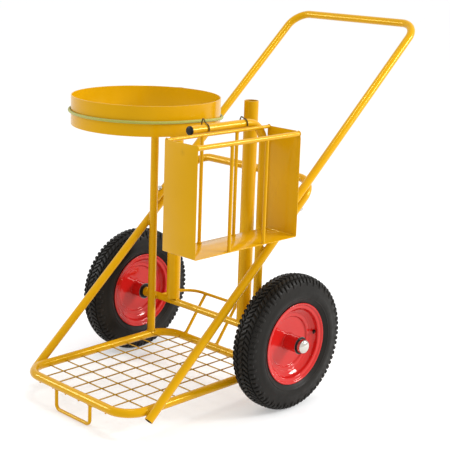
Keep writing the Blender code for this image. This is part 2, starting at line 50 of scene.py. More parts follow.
TUBE_BORE = 0.0105
TOOL_TUBE_WALL = 0.0025
AXLE_TUBE_WALL = 0.002
ROD_R = 0.005
WIRE_R = 0.002
RAIL_ANGLE = math.radians(41.67)
BASE_CORNER_R = 0.070
LOWER_BEND_R = 0.067
HANDLE_BEND_R = 0.061
SUPPORT_BEND_R = 0.070
ARCH_BEND_R = 0.065
FOOT_BEND_R = 0.015
JOGGLE_Z = (0.725, 0.800)
BUTT_JOINT_X = 0.060
LONG_WIRES = 6
LONG_WIRE_PITCH = 0.0588
CROSS_WIRES = 8
CROSS_WIRE_PITCH = 0.0597
CROSS_WIRE_DROP = 0.0033
FIRST_CROSS_WIRE = 0.0845
HOOP_WALL = 0.003
HOOP_WELD_OPENING = 0.0030
CORD_R = 0.004
CORD_CLEARANCE = 0.0006
CORD_Z = 0.841
CORD_DIP = 0.013
CORD_DIP_ANGLE = math.radians(55)
CORD_DIP_HALF_WIDTH = math.radians(65)
SHEET = 0.002
SHEET_FOLD_R = 0.004
SHEET_CORNER_R = 0.022
HOOK_BEND_R = 0.0025
SHAFT_BORE_R = 0.0089
COLLAR_BORE_R = 0.0113
VALVE_R = 0.004
VALVE_HOLE_R = 0.0052
RIM_SHEET = 0.0018

# How far a welded end goes into the tube it stands on
SUNK = 0.0006
BENT_ROD_SUNK = 0.0008
WIRE_SUNK = 0.0004

# M8 bolts and nuts
HEXAGON_R = 0.0075
HEXAGON_POINTS = 24
HEAD_HEIGHT = 0.0053
NUT_HEIGHT = 0.0065
NUT_BORE_R = 0.0040
BOLT_R = 0.0039
BOLT_END = 0.0025
THREAD_ROOT_R = 0.0034
THREAD_PITCH = 0.0011
THREAD_TURNS = 9

# Radii of the weld beads
SEAM_BEAD = 0.0018
TUBE_BEAD = 0.0020
ROD_BEAD = 0.0016
THIN_BEAD = 0.0014
FINE_BEAD = 0.0013
WIRE_BEAD = 0.0012
DRIP_R = 0.0024

X = Vector((1, 0, 0))
Y = Vector((0, 1, 0))
Z = Vector((0, 0, 1))
RAIL_DIRECTION = Vector((0, math.cos(RAIL_ANGLE), math.sin(RAIL_ANGLE)))
RAIL_NORMAL = Vector((0, -math.sin(RAIL_ANGLE), math.cos(RAIL_ANGLE)))


# ---- materials

def shader_of(name):
    finish = bpy.data.materials.new(name)
    finish.use_nodes = True
    tree = finish.node_tree
    return finish, tree, tree.nodes["Principled BSDF"]


def set_inputs(node, values):
    for name, value in values.items():
        node.inputs[name].default_value = value


def noise_node(tree, scale, detail=3.0):
    place = tree.nodes.new("ShaderNodeTexCoord")
    cloud = tree.nodes.new("ShaderNodeTexNoise")
    set_inputs(cloud, {"Scale": scale, "Detail": detail})
    tree.links.new(place.outputs["Object"], cloud.inputs["Vector"])
    return cloud.outputs["Fac"]


def ranged(tree, value, low, high, from_low=0.3, from_high=0.7):
    spread = tree.nodes.new("ShaderNodeMapRange")
    set_inputs(spread, {"From Min": from_low, "From Max": from_high, "To Min": low, "To Max": high})
    tree.links.new(value, spread.inputs["Value"])
    return spread.outputs["Result"]


def mixed(tree, factor, first, second):
    """A colour between two, each a socket or a plain colour."""
    mix = tree.nodes.new("ShaderNodeMix")
    mix.data_type = "RGBA"
    tree.links.new(factor, mix.inputs["Factor"])
    for socket, colour in ((mix.inputs[6], first), (mix.inputs[7], second)):
        if isinstance(colour, bpy.types.NodeSocket):
            tree.links.new(colour, socket)
        else:
            socket.default_value = (*colour, 1.0)
    return mix.outputs[2]


def bumped(tree, shader, height, strength, distance, onto=None):
    bump = tree.nodes.new("ShaderNodeBump")
    set_inputs(bump, {"Strength": strength, "Distance": distance})
    tree.links.new(height, bump.inputs["Height"])
    if onto is not None:
        tree.links.new(onto, bump.inputs["Normal"])
    tree.links.new(bump.outputs["Normal"], shader.inputs["Normal"])
    return bump.outputs["Normal"]


def patchy(tree, colour, scale, detail, dark, light):
    """A colour that changes slowly between a darker and a lighter shade of itself."""
    patches = ranged(tree, noise_node(tree, scale, detail), 0.0, 1.0)
    return mixed(tree, patches, shaded(colour, dark), shaded(colour, light))


def worn(tree, shader, scale, low, high):
    """Roughness that changes over the surface."""
    tree.links.new(ranged(tree, noise_node(tree, scale), low, high), shader.inputs["Roughness"])


def shaded(colour, factor):
    return tuple(channel * factor for channel in colour)


def powder_coat(name, colour, roughness, gloss, tint, shade_spot=None):
    """Sprayed paint: slow changes of depth, and a fine and a coarse orange peel."""
    finish, tree, shader = shader_of(name)
    tone = patchy(tree, colour, 5.0, 3.0, 0.93, 1.04)
    # An optional darker spot, painted shade of a weld dimple
    if shade_spot is not None:
        tone = add_dimple_shade(tree, tone, colour, *shade_spot)
    tree.links.new(tone, shader.inputs["Base Color"])
    worn(tree, shader, 22.0, roughness - 0.04, roughness + 0.05)
    set_inputs(shader, {"Specular IOR Level": gloss, "Specular Tint": (*tint, 1.0)})
    peel = bumped(tree, shader, noise_node(tree, 650.0, 2.0), 0.025, 0.0002)
    bumped(tree, shader, noise_node(tree, 130.0, 3.0), 0.03, 0.0003, peel)
    return finish


def add_dimple_shade(tree, tone, colour, centre, radius):
    """Painted shade: a faint darker spot on the paint, standing for the shade of a shallow weld dimple."""
    place = tree.nodes.new("ShaderNodeTexCoord")
    away = tree.nodes.new("ShaderNodeVectorMath")
    away.operation = "DISTANCE"
    away.inputs[1].default_value = centre
    tree.links.new(place.outputs["Object"], away.inputs[0])
    spot = ranged(tree, away.outputs["Value"], 0.55, 0.0, 0.0, radius)
    shade_noise = ranged(tree, noise_node(tree, 90.0), 0.2, 1.0)
    return mixed(tree, calculated(tree, "MULTIPLY", spot, shade_noise), tone, shaded(colour, 0.55))


def rubber(name, colour, roughness, gloss):
    finish, tree, shader = shader_of(name)
    tree.links.new(patchy(tree, colour, 9.0, 5.0, 0.75, 1.35), shader.inputs["Base Color"])
    worn(tree, shader, 60.0, roughness - 0.10, roughness + 0.10)
    shader.inputs["Specular IOR Level"].default_value = gloss
    grain = bumped(tree, shader, noise_node(tree, 1500.0, 2.0), 0.25, 0.0002)
    bumped(tree, shader, noise_node(tree, 240.0, 3.0), 0.18, 0.0004, grain)
    return finish


def metal(name, colour, roughness, grain_scale):
    finish, tree, shader = shader_of(name)
    tree.links.new(patchy(tree, colour, grain_scale / 4, 4.0, 0.85, 1.0), shader.inputs["Base Color"])
    shader.inputs["Metallic"].default_value = 1.0
    worn(tree, shader, grain_scale, roughness * 0.8, roughness * 1.3)
    bumped(tree, shader, noise_node(tree, grain_scale * 4, 2.0), 0.08, 0.0002)
    return finish


def plastic(name, colour, roughness):
    finish, tree, shader = shader_of(name)
    tree.links.new(patchy(tree, colour, 80.0, 4.0, 0.8, 1.25), shader.inputs["Base Color"])
    worn(tree, shader, 300.0, roughness - 0.08, roughness + 0.08)
    shader.inputs["Specular IOR Level"].default_value = 0.15
    bumped(tree, shader, noise_node(tree, 900.0, 2.0), 0.2, 0.0002)
    return finish


def braid(name, colour, fleck):
    """A woven sheath: two families of strands cross round the cord, with a fleck yarn in one of them."""
    finish, tree, shader = shader_of(name)
    strands = 8.0
    lay = 420.0
    place = tree.nodes.new("ShaderNodeTexCoord")
    parts = tree.nodes.new("ShaderNodeSeparateXYZ")
    tree.links.new(place.outputs["UV"], parts.inputs["Vector"])
    families = []
    for lean in (1, -1):
        around = calculated(tree, "MULTIPLY", parts.outputs["X"], strands)
        along = calculated(tree, "MULTIPLY", parts.outputs["Y"], lean * lay)
        both = calculated(tree, "ADD", around, along)
        families.append(calculated(tree, "PINGPONG", both, 0.5))
    over = calculated(tree, "MAXIMUM", families[0], families[1])
    yarn = calculated(tree, "GREATER_THAN", families[0], families[1])
    tone = mixed(tree, yarn, colour, fleck)
    shade = ranged(tree, over, 0.0, 1.0, 0.15, 0.5)
    tree.links.new(mixed(tree, shade, shaded(colour, 0.45), tone), shader.inputs["Base Color"])
    worn(tree, shader, 400.0, 0.6, 0.85)
    shader.inputs["Sheen Weight"].default_value = 0.25
    weave = bumped(tree, shader, over, 0.7, 0.0007)
    bumped(tree, shader, noise_node(tree, 2500.0, 2.0), 0.2, 0.0002, weave)
    return finish


def calculated(tree, operation, first, second):
    step = tree.nodes.new("ShaderNodeMath")
    step.operation = operation
    for socket, value in zip(step.inputs, (first, second)):
        if isinstance(value, bpy.types.NodeSocket):
            tree.links.new(value, socket)
        else:
            socket.default_value = value
    return step.outputs["Value"]


YELLOW = (0.582, 0.297, 0.0022)
WARM_TINT = (1.0, 0.80, 0.16)
BOX_LOW, BOX_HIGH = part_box("box_sheet")
# Centre and radius of the painted shade of a weld dimple on the box's front plate
DIMPLE_SHADE_SPOT = ((BOX_LOW.x + 0.067, BOX_LOW.y, BOX_HIGH.z - 0.0245), 0.012)
PAINT = powder_coat("yellow_powder_coat", YELLOW, 0.17, 0.44, WARM_TINT)
# The platform wires: the same yellow powder coat drawn at 0.62, painted shade on the thin wires
SHADED_WIRE_PAINT = powder_coat("yellow_powder_coat_wire_painted_shade", shaded(YELLOW, 0.62), 0.22, 0.34, WARM_TINT)
BOX_PAINT = powder_coat("yellow_powder_coat_box", YELLOW, 0.15, 0.42, WARM_TINT, DIMPLE_SHADE_SPOT)
RED = powder_coat("red_rim_paint", (0.515, 0.011, 0.009), 0.08, 0.50, (1.0, 0.80, 0.75))
TYRE = rubber("tyre_rubber", (0.0095, 0.0083, 0.0067), 0.44, 0.14)
SEAL = rubber("seal_rubber", (0.006, 0.006, 0.005), 0.40, 0.20)
# Near-black for the inside of open tubes: painted shade, not a colour the steel has
PAINTED_BORE_SHADE = rubber("painted_shade_inside_bores", (0.035, 0.026, 0.012), 0.55, 0.10)
ZINC = metal("zinc_plate", (0.60, 0.58, 0.54), 0.30, 160.0)
BEARING_STEEL = metal("bearing_steel", (0.17, 0.165, 0.155), 0.34, 160.0)
CHROME = metal("bright_plate", (0.66, 0.63, 0.57), 0.13, 60.0)
DARK_STEEL = metal("dark_spring_steel", (0.13, 0.085, 0.035), 0.38, 200.0)
BLACK = plastic("black_plug_plastic", (0.008, 0.009, 0.009), 0.35)
CORD = braid("green_braid", (0.36, 0.39, 0.040), (0.56, 0.53, 0.09))


# ---- building tools

def placed(name, data):
    item = bpy.data.objects.new(name, data)
    bpy.context.scene.collection.objects.link(item)
    return item


def mesh_of(name, shape):
    mesh = bpy.data.meshes.new(name)
    shape.to_mesh(mesh)
    shape.free()
    return mesh


def piece(name, shape, material, body, *nodes):
    """Finish a piece: its faces point out, it rides a body, and it stands for the CAD nodes named."""
    bmesh.ops.recalc_face_normals(shape, faces=shape.faces)
    mesh = mesh_of(name, shape)
    mesh.shade_smooth()
    mesh.set_sharp_from_angle(angle=math.radians(38))
    mesh.materials.append(material)
    # Bore faces take the near-black painted shade as a second material
    if max(face.material_index for face in mesh.polygons):
        mesh.materials.append(PAINTED_BORE_SHADE)
    item = placed(name, mesh)
    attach(item, body)
    if nodes:
        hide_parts(*nodes)
    return item


def rounded_path(corners, radius, segments=16):
    """Points along straight runs between the corners, with an arc at each inner corner."""
    points = [Vector(corners[0])]
    for before, corner, after in zip(corners, corners[1:], corners[2:]):
        corner = Vector(corner)
        into = (corner - Vector(before)).normalized()
        out = (Vector(after) - corner).normalized()
        turn = into.angle(out)
        centre = corner + (out - into).normalized() * radius / math.cos(turn / 2)
        first = corner - into * radius * math.tan(turn / 2) - centre
        axis = into.cross(out).normalized()
        for step in range(segments + 1):
            swing = first.copy()
            swing.rotate(Quaternion(axis, turn * step / segments))
            points.append(centre + swing)
    points.append(Vector(corners[-1]))
    return points


def directions(path, closed):
    """The direction of travel at each point of a path."""
    count = len(path)
    result = []
    for index, point in enumerate(path):
        before = path[index - 1] if closed or index else point
        after = path[(index + 1) % count] if closed or index < count - 1 else point
        result.append((after - before).normalized())
    return result


def stations_along(path, closed):
    """(point, direction, side, distance) at each point, the side vector carried along without twist."""
    ways = directions(path, closed)
    side = ways[0].orthogonal().normalized()
    first = side.copy()
    travelled = 0.0
    result = []
    for index, (point, way) in enumerate(zip(path, ways)):
        if index:
            travelled += (point - path[index - 1]).length
            side.rotate(ways[index - 1].rotation_difference(way))
            side = (side - way * side.dot(way)).normalized()
        result.append([point, way, side.copy(), travelled])
    if closed:
        last = side.copy()
        last.rotate(ways[-1].rotation_difference(ways[0]))
        twist = math.atan2(last.cross(first).dot(ways[0]), last.dot(first))
        for index, station in enumerate(result):
            station[2].rotate(Quaternion(station[1], twist * index / len(result)))
    return result


def circle(centre, across, other, radius, count, offset=0.0):
    """Points round a circle, from the side across towards the side other."""
    points = []
    for index in range(count):
        angle = 2 * math.pi * (index + offset) / count
        points.append(centre + radius * (math.cos(angle) * across + math.sin(angle) * other))
    return points


def straight(start, end):
    start = Vector(start)
    end = Vector(end)
    return [start, (start + end) / 2, end]


def ring_of(shape, point, way, side, radius, sides):
    return [shape.verts.new(spot) for spot in circle(point, side, way.cross(side), radius, sides)]


def skin(shape, rings, distances, closed, shade_from_ring=None):
    """Quads between rings, with a UV map: U goes round and V is the distance in metres.

    Faces from the ring named by the last argument on take the piece's second material, the near-black
    painted shade inside the bore."""
    layer = shape.loops.layers.uv.verify()
    sides = len(rings[0])
    pairs = list(zip(range(len(rings) - 1), range(1, len(rings))))
    if closed:
        pairs.append((len(rings) - 1, 0))
    for low, high in pairs:
        high_distance = distances[high] if high > low else distances[low] + 0.001
        for index in range(sides):
            following = (index + 1) % sides
            face = shape.faces.new((rings[low][index], rings[low][following],
                                    rings[high][following], rings[high][index]))
            face.material_index = int(shade_from_ring is not None and shade_from_ring <= low < len(rings) - 1)
            places = ((index, distances[low]), (index + 1, distances[low]),
                      (index + 1, high_distance), (index, high_distance))
            for loop, (around, along) in zip(face.loops, places):
                loop[layer].uv = (around / sides, along)


def tube(shape, path, radius, sides=32, closed=False, bore=None, edge=0.0004):
    """Sweep a round section; an open tube has eased ends, and a bore makes it hollow."""
    path = [Vector(point) for point in path]
    stations = stations_along(path, closed)
    radius_at = radius if callable(radius) else lambda distance: radius
    if closed:
        rings = [ring_of(shape, point, way, side, radius_at(distance), sides)
                 for point, way, side, distance in stations]
        skin(shape, rings, [station[3] for station in stations], True)
        return
    rows = []
    point, way, side, _ = stations[0]
    rows.append((point, way, side, 0.0, radius_at(0.0) - edge))
    rows.append((point + way * edge, way, side, edge, radius_at(0.0)))
    for point, way, side, distance in stations[1:-1]:
        rows.append((point, way, side, distance, radius_at(distance)))
    point, way, side, length = stations[-1]
    rows.append((point - way * edge, way, side, length - edge, radius_at(length)))
    rows.append((point, way, side, length, radius_at(length) - edge))
    # The bore's faces take the near-black painted shade
    shade_from_ring = None
    if bore is not None:
        shade_from_ring = len(rows)
        inner = [(place, along, across, distance, bore) for place, along, across, distance, _ in rows]
        rows += inner[::-1]
    rings = [ring_of(shape, place, along, across, wide, sides) for place, along, across, _, wide in rows]
    skin(shape, rings, [row[3] for row in rows], bore is not None, shade_from_ring)
    if bore is None:
        shape.faces.new(rings[0])
        shape.faces.new(rings[-1])


def single_tube(name, path, radius, material, body, node, sides=32, bore=None, closed=False, painted=False):
    """A tube as a piece of its own; painted gives its bore the outside's material instead of the near-black
    painted shade.
    """
    shape = bmesh.new()
    tube(shape, path, radius, sides, closed, bore)
    if painted:
        for face in shape.faces:
            face.material_index = 0
    return piece(name, shape, material, body, node)


def cart_tube(name, path, radius, node, **options):
    single_tube(name, path, radius, PAINT, "cart", node, **options)


def joined(shape, rings, closed):
    """Faces between one ring and the next; a ring of one point is a tip."""
    steps = max(len(ring) for ring in rings)
    pairs = list(zip(rings, rings[1:]))
    if closed:
        pairs.append((rings[-1], rings[0]))
    for low, high in pairs:
        for index in range(steps):
            following = (index + 1) % steps
            corners = [low[index % len(low)], low[following % len(low)],
                       high[following % len(high)], high[index % len(high)]]
            unique = list(dict.fromkeys(corners))
            if len(unique) > 2:
                shape.faces.new(unique)


def lathe(shape, outline, centre, way, steps):
    """Turn (radius, height) points round an axis; an outline that starts and ends on it is closed there."""
    across = way.orthogonal().normalized()
    other = way.cross(across)
    rings = []
    for radius, height in outline:
        middle = centre + way * height
        spots = [middle] if radius == 0 else circle(middle, across, other, radius, steps, 0.5)
        rings.append([shape.verts.new(spot) for spot in spots])
    joined(shape, rings, len(rings[0]) > 1)


def turned(name, outline, centre, way, steps, material, body, *nodes):
    shape = bmesh.new()
    lathe(shape, outline, centre, way, steps)
    return piece(name, shape, material, body, *nodes)


def smooth_outline(points, count):
    """A denser outline through the same points, without corners (Catmull-Rom)."""
    result = []
    for index in range(len(points) - 1):
        before = Vector(points[max(index - 1, 0)])
        here = Vector(points[index])
        after = Vector(points[index + 1])
        beyond = Vector(points[min(index + 2, len(points) - 1)])
        for step in range(count):
            part = step / count
            result.append(tuple(0.5 * (2 * here + (after - before) * part
                                       + (2 * before - 5 * here + 4 * after - beyond) * part ** 2
                                       + (3 * here - before - 3 * after + beyond) * part ** 3)))
    result.append(tuple(points[-1]))
    return result


def eased_ring(outer, near, far, bore, off_face, off_side):
    """The outline of a plain ring; its outer edges are eased by so much off the face and off the side."""
    return [(outer - off_face, far), (outer, far - off_side), (outer, near + off_side),
            (outer - off_face, near), (bore, near), (bore, far)]


def sheet_outline(path, thickness):
    """A thin wall's outline, half its thickness to each side of the path."""
    one_side = []
    other_side = []
    for index, point in enumerate(path):
        before = Vector(path[max(index - 1, 0)])
        after = Vector(path[min(index + 1, len(path) - 1)])
        along = (after - before).normalized()
        across = Vector((-along.y, along.x)) * thickness / 2
        one_side.append(tuple(Vector(point) + across))
        other_side.append(tuple(Vector(point) - across))
    return one_side + other_side[::-1]


# ---- welds

SCALES = random.Random(7)


def bead(shape, loop, radius, closed=True):
    """A weld bead with the ripples that the torch leaves."""
    phase = SCALES.uniform(0, 6)
    pitch = SCALES.uniform(0.0026, 0.0034)

    def rippled(distance):
        wave = math.sin(2 * math.pi * distance / pitch + phase)
        drift = math.sin(distance * 190 + phase * 2)
        return radius * (1 + 0.10 * wave + 0.10 * drift)

    tube(shape, loop, rippled, 10, closed, edge=radius * 0.45)


def ring_bead(shape, centre, across, other, ring_r, radius, count):
    bead(shape, circle(centre, across, other, ring_r, count), radius)


def saddle(shape, foot, way, small_r, big_axis, big_r, radius, points=64):
    """The weld where a tube or rod ends on the side of a round tube whose axis passes under the foot.

    The foot is on the big tube's axis and the way leads along the small one."""
    side = way.orthogonal().normalized()
    other = way.cross(side)
    loop = []
    for spoke in circle(Vector(), side, other, small_r + radius * 0.35, points):
        off_axis = spoke - big_axis * spoke.dot(big_axis)
        along = way - big_axis * way.dot(big_axis)
        a = along.dot(along)
        b = 2 * off_axis.dot(along)
        c = off_axis.dot(off_axis) - (big_r + radius * 0.35) ** 2
        root = math.sqrt(max(b * b - 4 * a * c, 0.0))
        loop.append(foot + spoke + way * (-b + root) / (2 * a))
    bead(shape, loop, radius)


def crossing(shape, contact, normal, way_a, r_a, way_b, r_b, radius=SEAM_BEAD, reach=0.016):
    """The weld round the spot where two round tubes touch side by side, b on the normal's side of a."""
    way_a = way_a.normalized()
    way_b = way_b.normalized()
    other = normal.cross(way_a).normalized()
    loop = []
    for spoke in circle(Vector(), way_a, other, 1.0, 72, 0.5):
        off_a = (spoke - way_a * spoke.dot(way_a)).length
        off_b = (spoke - way_b * spoke.dot(way_b)).length
        opening = off_a ** 2 / (2 * r_a) + off_b ** 2 / (2 * r_b)
        distance = min(math.sqrt(2.2 * radius / max(opening, 1e-9)), reach)
        middle = (off_b ** 2 / (2 * r_b) - off_a ** 2 / (2 * r_a)) / 2
        loop.append(contact + spoke * distance + normal * middle * distance ** 2)
    bead(shape, loop, radius)


# ---- frame

def node_box(node):
    low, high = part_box(node)
    return low, high, (low + high) / 2


def u_corners(x, foot, bar):
    """The corners of a U, from the left foot to the right one; foot and bar are (y, z)."""
    return [(-x, *foot), (-x, *bar), (x, *bar), (x, *foot)]


def slanted_corners(node):
    """The corners of a slanted tube loop, from its box."""
    low, high, _ = node_box(node)
    foot = (low.y + TUBE_R * math.sin(RAIL_ANGLE), low.z + TUBE_R * math.cos(RAIL_ANGLE))
    return u_corners(high.x - TUBE_R, foot, (high.y - TUBE_R, high.z - TUBE_R))


def frame_tubes(welds):
    rails = slanted_corners("lower_frame")
    cart_tube("lower_frame_tube", rounded_path(rails, LOWER_BEND_R), TUBE_R, "lower_frame", bore=TUBE_BORE)
    handle = slanted_corners("handle_tube")
    cart_tube("push_handle_tube", rounded_path(handle, HANDLE_BEND_R), TUBE_R, "handle_tube", bore=TUBE_BORE)
    base_z = node_box("base_ring")[2].z
    post_y = node_box("box_support_post")[1].y - TUBE_R
    for foot in (Vector(rails[0]), Vector(rails[3])):
        inward = -X * math.copysign(1, foot.x)
        at_base = foot + RAIL_DIRECTION * (base_z - foot.z) / RAIL_DIRECTION.z
        at_post = foot + RAIL_DIRECTION * (post_y - foot.y) / RAIL_DIRECTION.y
        for spot, other_way in ((at_base, Y), (at_post, Z)):
            crossing(welds, spot + inward * TUBE_R, inward, RAIL_DIRECTION, TUBE_R, other_way, TUBE_R)


def base(welds):
    low, high, middle = node_box("base_ring")
    x = high.x - TUBE_R
    front = low.y + TUBE_R
    back = high.y - TUBE_R
    z = middle.z
    joint = (BUTT_JOINT_X, back, z)
    corners = [joint, (x, back, z), (x, front, z), (-x, front, z), (-x, back, z), joint]
    loop = rounded_path(corners, BASE_CORNER_R)[:-1]
    cart_tube("base_ring_tube", loop, TUBE_R, "base_ring", closed=True)
    ring_bead(welds, Vector(joint), Y, Z, TUBE_R, THIN_BEAD, 48)
    platform(welds, x, front, back, z)
    front_foot(welds, front, z)


def platform(welds, x, front, back, z):
    """Round wires, pressed a little into each other where they are spot welded."""
    shape = bmesh.new()
    inside = TUBE_R - WIRE_SUNK
    for index in range(LONG_WIRES):
        wire_x = (index - (LONG_WIRES - 1) / 2) * LONG_WIRE_PITCH
        path = straight((wire_x, front + inside, z), (wire_x, back - inside, z))
        tube(shape, path, WIRE_R, 12, edge=0.0002)
        for y, way in ((front, Y), (back, -Y)):
            saddle(welds, Vector((wire_x, y, z)), way, WIRE_R, X, TUBE_R, WIRE_BEAD, 20)
        drip = Vector((wire_x, front - 0.0035, z - TUBE_R + 0.0002))
        bead(welds, [drip - X * 0.0022, drip - Z * 0.0008, drip + X * 0.0022], DRIP_R, closed=False)
    for index in range(CROSS_WIRES):
        y = front + FIRST_CROSS_WIRE + CROSS_WIRE_PITCH * index
        end = cross_wire_end(x, y, back)
        height = z - CROSS_WIRE_DROP
        tube(shape, straight((-end, y, height), (end, y, height)), WIRE_R, 12, edge=0.0002)
        for side in (-1, 1):
            ring_bead(welds, Vector((side * (end - WIRE_BEAD), y, height)), Y, Z, 0.0024, WIRE_BEAD, 14)
    # The wires take the darker copy of the yellow, painted shade
    piece("platform_wires", shape, SHADED_WIRE_PAINT, "cart", "platform_mesh")


def cross_wire_end(x, y, back):
    """A cross wire's half length; the last wires meet the base ring in its bends."""
    into_bend = max(0.0, y - (back - BASE_CORNER_R))
    inside_r = BASE_CORNER_R - TUBE_R
    return x - BASE_CORNER_R + math.sqrt(inside_r ** 2 - into_bend ** 2) + SUNK


def front_foot(welds, front, z):
    low, high, _ = node_box("front_foot")
    x = high.x - ROD_R
    corners = u_corners(x, (front, z - TUBE_R + BENT_ROD_SUNK), (front, low.z + ROD_R))
    cart_tube("front_foot_rod", rounded_path(corners, FOOT_BEND_R, 10), ROD_R, "front_foot", sides=24)
    for side in (-1, 1):
        saddle(welds, Vector((side * x, front, z)), -Z, ROD_R, X, TUBE_R, ROD_BEAD, 36)


def axle_and_arch(welds):
    low, high, middle = node_box("axle_tube")
    radius = (high.z - low.z) / 2
    beam = straight((low.x, middle.y, middle.z), (high.x, middle.y, middle.z))
    cart_tube("axle_beam", beam, radius, "axle_tube", bore=radius - AXLE_TUBE_WALL)
    arch_low, arch_high, arch_middle = node_box("rear_arch")
    x = arch_high.x - ROD_R
    back = arch_high.y - ROD_R
    z = arch_middle.z
    corners = u_corners(x, (arch_low.y - BENT_ROD_SUNK, z), (back, z))
    cart_tube("rear_arch_rod", rounded_path(corners, ARCH_BEND_R), ROD_R, "rear_arch", sides=24)
    for side in (-1, 1):
        saddle(welds, Vector((side * x, middle.y, middle.z)), Y, ROD_R, X, radius, ROD_BEAD, 36)
    _, ring_high, ring_middle = node_box("base_ring")
    for side in ("left", "middle", "right"):
        node = "arch_rod_" + side
        rod_x = node_box(node)[2].x
        bottom = Vector((rod_x, ring_high.y - TUBE_R, ring_middle.z))
        top = Vector((rod_x, back, z))
        way = (top - bottom).normalized()
        path = [bottom + way * (TUBE_R - SUNK), top - way * (ROD_R - SUNK)]
        cart_tube(node + "_bar", path, ROD_R, node, sides=24)
        saddle(welds, bottom, way, ROD_R, X, TUBE_R, ROD_BEAD, 36)
        saddle(welds, top, -way, ROD_R * 0.94, X, ROD_R, FINE_BEAD, 36)
    for post in ("ring_post", "box_support_post"):
        post_low, post_high, _ = node_box(post)
        post_y = post_high.y - TUBE_R
        post_x = math.copysign(ring_high.x - TUBE_R, post_low.x)
        contact = Vector((post_x, post_y + TUBE_R, middle.z))
        crossing(welds, contact, Y, Z, TUBE_R, X, radius, TUBE_BEAD)


def uprights(welds):
    ring_z = node_box("base_ring")[2].z
    low, high, _ = node_box("box_support_post")
    x = high.x - TUBE_R
    y = high.y - TUBE_R
    z = high.z - TUBE_R
    foot_z = ring_z + TUBE_R - SUNK
    corners = [(x, y, foot_z), (x, y, z), (x, low.y, z)]
    path = rounded_path(corners, SUPPORT_BEND_R, 20)
    cart_tube("box_support_tube", path, TUBE_R, "box_support_post", bore=TUBE_BORE)
    low, high, _ = node_box("ring_post")
    foot = Vector((low.x + TUBE_R, high.y - TUBE_R, foot_z))
    top = Vector((high.x - TUBE_R, low.y + TUBE_R, high.z))
    path = [foot]
    for step in range(17):
        part = step / 16
        spot = foot.lerp(top, (1 - math.cos(math.pi * part)) / 2)
        path.append(Vector((spot.x, spot.y, JOGGLE_Z[0] + (JOGGLE_Z[1] - JOGGLE_Z[0]) * part)))
    path.append(top)
    cart_tube("ring_post_tube", path, TUBE_R, "ring_post", bore=TUBE_BORE)
    for side in (-1, 1):
        saddle(welds, Vector((side * x, y, ring_z)), Z, TUBE_R, Y, TUBE_R, TUBE_BEAD)
    for side in ("left", "right"):
        low, high, middle = node_box("tool_tube_" + side)
        radius = (high.x - low.x) / 2
        path = straight((middle.x, middle.y, low.z), (middle.x, middle.y, high.z))
        cart_tube("tool_tube_pipe_" + side, path, radius, "tool_tube_" + side, sides=48,
                  bore=radius - TOOL_TUBE_WALL, painted=True)
        for end in (-1, 1):
            spot = Vector((middle.x + end * (radius - 0.001), middle.y, low.z))
            strip = [spot + Y * 0.008 * math.sin(t) - Z * 0.0028 * (1 - math.cos(t))
                     for t in [math.radians(-70 + 10 * step) for step in range(15)]]
            bead(welds, strip, TUBE_BEAD, closed=False)


def hoop(welds):
    low, high, middle = node_box("bag_ring")
    radius = (high.x - low.x) / 2
    inner = radius - HOOP_WALL
    ease = 0.0006
    outline = [(radius - ease, high.z), (radius, high.z - ease), (radius, low.z + ease),
               (radius - ease, low.z), (inner + ease, low.z), (inner, low.z + ease),
               (inner, high.z - ease), (inner + ease, high.z)]
    centre = Vector((middle.x, middle.y, 0))
    turned("sack_hoop", outline, centre, Z, 160, PAINT, "cart", "bag_ring")
    for node in ("tool_tube_left", "ring_post"):
        post_low, post_high, post_middle = node_box(node)
        if node == "ring_post":
            post_r = TUBE_R
            spot = Vector((post_high.x - TUBE_R, post_low.y + TUBE_R, 0))
        else:
            post_r = (post_high.x - post_low.x) / 2
            spot = Vector((post_middle.x, post_middle.y, 0))
        outward = (spot - centre).normalized()
        edge = centre + outward * (radius + 0.0008)
        across = outward.cross(Z)
        offset = math.sqrt(2 * HOOP_WELD_OPENING / (1 / post_r + 1 / radius))
        for side in (-1, 1):
            for first, last in ((low.z + 0.004, low.z + 0.024), (high.z - 0.034, high.z - 0.014)):
                heights = [first + (last - first) * step / 8 for step in range(9)]
                strip = [edge + across * side * offset + Z * height for height in heights]
                bead(welds, strip, SEAM_BEAD, closed=False)


def cord_route():
    """The stretched loop: the tightest line round the hoop, the left tool tube and the ring post."""
    low, high, middle = node_box("bag_ring")
    centre = Vector((middle.x, middle.y))
    hoop_r = (high.x - low.x) / 2
    tool_low, tool_high, tool = node_box("tool_tube_left")
    post_low, post_high, _ = node_box("ring_post")
    post = Vector((post_high.x - TUBE_R, post_low.y + TUBE_R))
    held = [(centre, hoop_r, 240), (Vector((tool.x, tool.y)), (tool_high.x - tool_low.x) / 2, 72),
            (post, TUBE_R, 72)]
    around = []
    for spot, radius, count in held:
        reach = radius + CORD_R + CORD_CLEARANCE / 2
        around += circle(spot, Vector((1, 0)), Vector((0, 1)), reach, count)
    loop = [around[index] for index in geometry.convex_hull_2d(around)]
    route = []
    for here, following in zip(loop, loop[1:] + loop[:1]):
        pieces = math.ceil((following - here).length / 0.006)
        for step in range(pieces):
            spot = here.lerp(following, step / pieces)
            route.append(Vector((spot.x, spot.y, cord_height(spot - centre))))
    return route


def cord_height(offset):
    """The cord sags a little on one side of the hoop."""
    away = abs(math.atan2(offset.y, offset.x) - CORD_DIP_ANGLE)
    if away >= CORD_DIP_HALF_WIDTH:
        return CORD_Z
    return CORD_Z - CORD_DIP * (1 + math.cos(math.pi * away / CORD_DIP_HALF_WIDTH)) / 2


